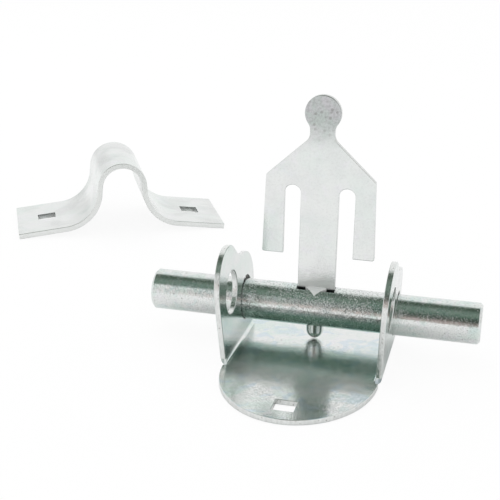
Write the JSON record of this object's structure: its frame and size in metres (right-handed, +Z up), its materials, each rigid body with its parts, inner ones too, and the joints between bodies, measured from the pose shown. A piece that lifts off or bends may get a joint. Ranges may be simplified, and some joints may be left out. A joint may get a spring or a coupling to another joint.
{
  "type": "padbolt",
  "caption": "Sliding round bolt in a two-eared bracket, with a slotted flat handle that folds over an ear for a padlock, and a keeper staple.",
  "frame": {"origin": "on the underside of the base plate, midway between the ears, under the bolt's axis", "axes": "+X along the bolt, +Z up from the base plate, -Y towards the front tongue"},
  "size_m": [0.2933, 0.2786, 0.1184],
  "materials": {
    "zinc": "bright zinc plate, mottled"
  },
  "bodies": {
    "base": {"bracket": "zinc"},
    "bolt_slide": {"bolt_left_end": "zinc"},
    "bolt_turn": {"bolt_bar": "zinc", "handle": "zinc", "handle_rivet": "zinc"},
    "staple": {"keeper_staple": "zinc"}
  },
  "joints": [
    {"name": "bolt_slide_joint", "type": "slide", "parent": "base", "child": "bolt_slide", "axis": [1, 0, 0], "range_m": [-0.0236, 0.0254]},
    {"name": "handle_fold", "type": "hinge", "parent": "bolt_slide", "child": "bolt_turn", "pos_m": [0, 0, 0.0188], "axis": [1, 0, 0], "range_deg": [-99, 99]},
    {"name": "staple_lift", "type": "slide", "parent": "base", "child": "staple", "axis": [0, 0, 1], "range_m": [0, 0.06]}
  ]
}
